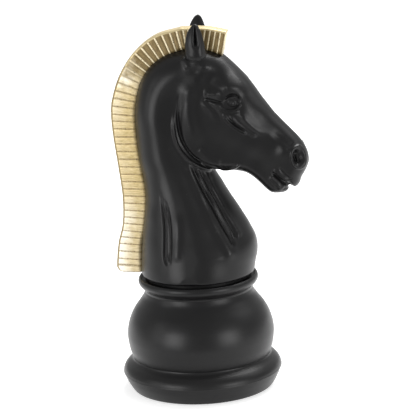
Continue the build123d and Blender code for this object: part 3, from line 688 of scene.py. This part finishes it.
class Finish:
    """A material under construction."""

    def __init__(self, name):
        self.material = bpy.data.materials.new(name)
        self.material.use_nodes = True
        self.tree = self.material.node_tree
        self.shader = self.tree.nodes["Principled BSDF"]

    def node(self, kind, settings=None, sockets=None, out=0):
        """Adds a node: its settings, then its sockets' values or links; returns one output."""
        node = self.tree.nodes.new(kind)
        for name, value in (settings or {}).items():
            if name == "stops":
                ramp = node.color_ramp.elements
                while len(ramp) < len(value):
                    ramp.new(1)
                for element, (place, grey) in zip(ramp, value):
                    element.position, element.color = place, (grey, grey, grey, 1)
            else:
                setattr(node, name, value)
        for name, value in (sockets or {}).items():
            self.set(node.inputs[name], value)
        return Value(self, node.outputs[out])

    def set(self, socket, value):
        if isinstance(value, Value):
            self.tree.links.new(value.socket, socket)
        else:
            socket.default_value = value

    def surface(self, **sockets):
        """Sets the shader's sockets, named with underscores for spaces."""
        for name, value in sockets.items():
            self.set(self.shader.inputs[name.replace("_", " ")], value)

    def place(self):
        """Where a point is in the object, in metres."""
        return self.node("ShaderNodeTexCoord", out="Object")

    def noise(self, place, scale, detail=3.0, roughness=0.55):
        """Soft noise, about 0 to 1; scale counts its cells per metre."""
        sockets = {"Vector": place, "Scale": scale, "Detail": detail, "Roughness": roughness}
        return self.node("ShaderNodeTexNoise", {}, sockets)

    def dots(self, place, scale, size):
        """1 inside scattered dots, 0 outside; size is a share of their spacing."""
        far = self.node("ShaderNodeTexVoronoi", {"feature": "F1"}, {"Vector": place, "Scale": scale})
        return self.between(far, size, size * 0.6)

    def between(self, value, low, high):
        """0 below low, 1 above high."""
        return self.node("ShaderNodeMapRange", {}, {"Value": value, "From Min": low, "From Max": high})

    def mix(self, share, a, b):
        """A colour between two colours."""
        return self.node("ShaderNodeMix", {"data_type": "RGBA"}, {0: share, 6: a, 7: b}, out=2)

    def bump(self, height, distance):
        """Gives the surface a relief from heights of 0 to 1, distance metres deep."""
        sockets = {"Height": height, "Distance": distance, "Strength": 1.0}
        self.set(self.shader.inputs["Normal"], self.node("ShaderNodeBump", {}, sockets))


# How much painted highlight the leaf gets along the mane, from the forehead to the collar.
HIGHLIGHT_STOPS = [(0.0, 0.2), (0.36, 0.4), (0.4, 1.0), (0.46, 0.4), (0.57, 0.15), (0.75, 0.2), (0.83, 0.75),
              (1.0, 0.9)]


def black_resin():
    """Painted cast resin: satin black, faintly mottled, with a few pinholes and specks of dust."""
    f = Finish("black_resin")
    place = f.place()
    cloud = f.noise(place, 24, 4)
    grain = f.noise(place, 900, 2)
    pinholes = f.dots(place, 95, 0.045) * f.between(f.noise(place, 30, 1), 0.52, 0.6)
    colour = f.mix(cloud, (0.0030, 0.0030, 0.0034, 1), (0.0060, 0.0058, 0.0058, 1))
    colour = f.mix(pinholes * 0.6, colour, (0.04, 0.038, 0.036, 1))
    f.surface(Base_Color=colour, Roughness=0.27 + 0.1 * cloud + 0.06 * grain, IOR=1.34)
    f.bump(grain * 0.3 + cloud * 1.0 - pinholes * 1.5, 0.00012)
    return f.material


# The near-white leaf tone is a painted highlight.
TAN_LEAF, BRIGHT_LEAF, HIGHLIGHT_LEAF = (0.46, 0.335, 0.125, 1), (0.68, 0.54, 0.27, 1), (0.98, 0.94, 0.82, 1)
# Painted shade: the browns given to the ribs over the poll.
POLL_DEEP_SHADE, POLL_SHADE_TONE = (0.12, 0.080, 0.026, 1), (0.23, 0.165, 0.068, 1)
# Groove tones: painted shade on the neck's back, painted highlight over the poll.
GROOVE_PAINTED_SHADE, GROOVE_PAINTED_GLINT = (0.24, 0.165, 0.06, 1), (0.92, 0.80, 0.54, 1)
# Rim tones: painted shade on the neck's back, painted reflection of the overhead light over the poll.
RIM_PAINTED_SHADE, RIM_PAINTED_REFLECTION = (0.26, 0.195, 0.085, 1), (0.56, 0.46, 0.26, 1)
BARE_GROUND = (0.05, 0.035, 0.018, 1)


def gold_leaf():
    """Leaf over a brown ground, chipped along the grooves: painted highlight on the neck's back, painted
    shade over the poll, and painted shade and highlight along the grooves and rim.
    """
    f = Finish("gold_leaf")
    place = f.place()
    rib = f.node("ShaderNodeAttribute", {"attribute_name": "rib"}, out="Fac")
    reach = f.node("ShaderNodeAttribute", {"attribute_name": "reach"}, out="Fac")
    within = f.node("ShaderNodeMath", {"operation": "FRACT"}, {0: rib})
    edge = f.node("ShaderNodeMath", {"operation": "PINGPONG"}, {0: within, 1: 0.5})
    brushed = f.node("ShaderNodeCombineXYZ", {}, {0: rib * 3.1, 1: reach * 1.6, 2: 0.0})
    streak = f.noise(brushed, 2.2, 5, 0.65)
    patch = f.noise(place, 60, 4)
    speckle = f.noise(place, 420, 3, 0.7)
    # Painted shade over the poll: the ribs from the forehead back are made brown. The same mask sets where
    # the grooves and rim get painted highlights.
    poll_painted_light = f.between(rib + (patch - 0.5) * 5, 18.5, 15.5)
    # Painted highlight: the leaf is mixed towards near-white on the neck's back and near the collar, more
    # towards the rim.
    pale = f.node("ShaderNodeValToRGB", {"stops": HIGHLIGHT_STOPS}, {"Fac": rib / RIBS}, out="Color")
    outer = f.between(reach + (streak - 0.5) * 0.5, 0.35, 0.75)
    leaf = f.mix(f.between(streak, 0.36, 0.62), TAN_LEAF, BRIGHT_LEAF)
    leaf = f.mix(pale * (0.25 + 0.75 * outer) * f.between(patch, 0.2, 0.55), leaf, HIGHLIGHT_LEAF)
    leaf = f.mix(poll_painted_light, leaf, f.mix(f.between(streak, 0.35, 0.65), POLL_DEEP_SHADE, POLL_SHADE_TONE))
    # Grooves are coloured in speckled lines, as painted shade on the neck's back and as painted highlight
    # over the poll.
    groove = f.between(edge, 0.15, 0.05) * f.between(reach, 0.98, 0.94)
    line = f.mix(poll_painted_light, GROOVE_PAINTED_SHADE, GROOVE_PAINTED_GLINT)
    leaf = f.mix(groove * f.between(speckle, 0.22, 0.5) * (0.8 + 0.15 * poll_painted_light), leaf, line)
    # The rim strip gets painted shade on the neck's back and a painted reflection over the poll.
    rim = f.between(reach, 0.90, 0.93)
    leaf = f.mix(rim, leaf, f.mix(poll_painted_light, RIM_PAINTED_SHADE, RIM_PAINTED_REFLECTION))
    chips = f.between(edge, 0.16, 0.06) * f.between(speckle, 0.60, 0.68) * f.between(reach, 0.985, 0.96)
    leaf = f.mix(chips, leaf, BARE_GROUND)
    f.surface(Base_Color=leaf, Metallic=0.5 - 0.3 * groove, Roughness=0.34 + 0.2 * streak)
    f.bump(streak * 0.5 + speckle * 0.6 + patch * 0.4, 0.0003)
    return f.material


def plain(name, colour, rough, metal, grain, depth):
    """A finish for pieces under or inside the base: even, with a fine grain."""
    f = Finish(name)
    place = f.place()
    cloud = f.noise(place, 60, 4)
    fine = f.noise(place, grain, 3)
    dark = tuple(c * 0.75 for c in colour) + (1,)
    light = tuple(min(1, c * 1.15) for c in colour) + (1,)
    f.surface(Base_Color=f.mix(cloud, dark, light), Roughness=rough + 0.12 * fine, Metallic=metal)
    f.bump(fine, depth)
    return f.material


def dress(piece, material):
    """Gives a piece one material all over."""
    piece.data.materials.clear()
    piece.data.materials.append(material)


black = black_resin()
for piece in [horse, *ears, *base]:
    dress(piece, black)
dress(mane, gold_leaf())

steel = plain("zinc_steel", (0.62, 0.62, 0.6), 0.35, 1.0, 900, 0.0001)
rubber = plain("black_rubber", (0.025, 0.025, 0.026), 0.72, 0.0, 1500, 0.00025)
moulded = plain("moulded_plastic", (0.035, 0.035, 0.037), 0.5, 0.0, 2200, 0.00006)
wood = plain("dowel_wood", (0.62, 0.45, 0.27), 0.6, 0.0, 300, 0.0002)
grit = plain("dry_sand", (0.62, 0.5, 0.33), 0.9, 0.0, 1400, 0.0006)
rough_resin = plain("bare_resin", (0.05, 0.05, 0.05), 0.6, 0.0, 700, 0.0002)
CARRIED = {
    "base_cover": moulded, "filler_plug": moulded, "anti_slip_pad": rubber, "plug_seal": rubber,
    "cover_screws": steel, "tie_rod": steel, "lower_nut": steel, "lower_washer": steel, "captive_nut": steel,
    "locating_pins": steel, "ear_dowels": wood, "mane_dowels": wood, "sand_ballast": grit,
    "neck_bulkhead": rough_resin}
for node, material in CARRIED.items():
    dress(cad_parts[node], material)


# ---- Floor, light and camera --------------------------------------------------------------------
FLOOR_LEVEL = -0.0003  # just under the pad's face, in metres
FLOOR_HALF = 14.0
FLOOR_FADE = (-0.48, -0.2)  # along Y, from the dimmer front to the bright rest


def build_floor():
    """A wide pale floor whose glow is painted light, kept dimmer in front so that it doesn't light the black
    resin from below.
    """
    mesh = bpy.data.meshes.new("floor")
    w = FLOOR_HALF
    corners = [(x, y, FLOOR_LEVEL) for x, y in ((-w, -w), (w, -w), (w, w), (-w, w))]
    mesh.from_pydata(corners, [], [(0, 1, 2, 3)])
    floor = bpy.data.objects.new("floor", mesh)
    bpy.context.scene.collection.objects.link(floor)
    f = Finish("pale_floor")
    forward = f.node("ShaderNodeSeparateXYZ", {}, {"Vector": f.place()}, out="Y")
    back = f.between(forward, *FLOOR_FADE)
    # Painted light: the floor glows, faintly in front and fully further back.
    f.surface(Base_Color=f.mix(back, (0.36, 0.36, 0.36, 1), (0.66, 0.66, 0.66, 1)), Roughness=0.8,
              Emission_Color=f.mix(back, (0.08, 0.08, 0.08, 1), (1, 1, 1, 1)), Emission_Strength=0.62)
    dress(floor, f.material)


LIT = Vector((0, 0, 0.22))  # the place that every light points at


def seen_from(azimuth, elevation):
    """The way from the object to a place round it; azimuth 0 is straight in front of its right side."""
    a, e = math.radians(azimuth), math.radians(elevation)
    return Vector((math.sin(a) * math.cos(e), -math.cos(a) * math.cos(e), math.sin(e)))


def softbox(name, azimuth, elevation, distance, size, power):
    """A soft rectangular light round the object."""
    light = bpy.data.lights.new(name, "AREA")
    light.shape, light.size, light.size_y = "RECTANGLE", size[0], size[1]
    light.energy = power
    lamp = bpy.data.objects.new(name, light)
    away = seen_from(azimuth, elevation)
    lamp.location = LIT + away * distance
    lamp.rotation_euler = away.to_track_quat("Z", "Y").to_euler()
    bpy.context.scene.collection.objects.link(lamp)


build_floor()
softbox("left_window", -33, 4, 1.6, (0.8, 0.8), 11)
softbox("right_window", 54, 4, 1.7, (0.8, 0.8), 11.5)
softbox("tall_left", -64, 10, 1.8, (0.4, 1.2), 3)
softbox("overhead", 150, 62, 1.9, (1.4, 1.2), 48)
softbox("high_right", 105, 38, 1.9, (1.0, 1.0), 3.5)

world = bpy.data.worlds.new("studio")
world.use_nodes = True
world.node_tree.nodes["Background"].inputs["Color"].default_value = (1, 1, 1, 1)
world.node_tree.nodes["Background"].inputs["Strength"].default_value = 0.62
bpy.context.scene.world = world
bpy.context.scene.view_settings.view_transform = "Standard"

TARGET = Vector((0, 0, 0.51 * TOP * MM))
DISTANCE = 3.5
AZIMUTH, ELEVATION, ROLL = 10.0, 14.5, 2.9
LENS = 234.7
SHIFT = (0.0371, -0.0214)


def build_camera():
    """A long lens in front and to the right, a little above, tipped slightly."""
    camera = bpy.data.cameras.new("camera")
    camera.sensor_width = 36
    camera.lens = LENS
    camera.shift_x, camera.shift_y = SHIFT
    camera.clip_end = 60
    seat = bpy.data.objects.new("camera", camera)
    away = seen_from(AZIMUTH, ELEVATION)
    place = Matrix.Translation(TARGET + away * DISTANCE)
    facing = away.to_track_quat("Z", "Y").to_matrix().to_4x4()
    seat.matrix_world = place @ facing @ Matrix.Rotation(math.radians(-ROLL), 4, "Z")
    bpy.context.scene.collection.objects.link(seat)
    bpy.context.scene.camera = seat


build_camera()

bpy.context.view_layer.update()
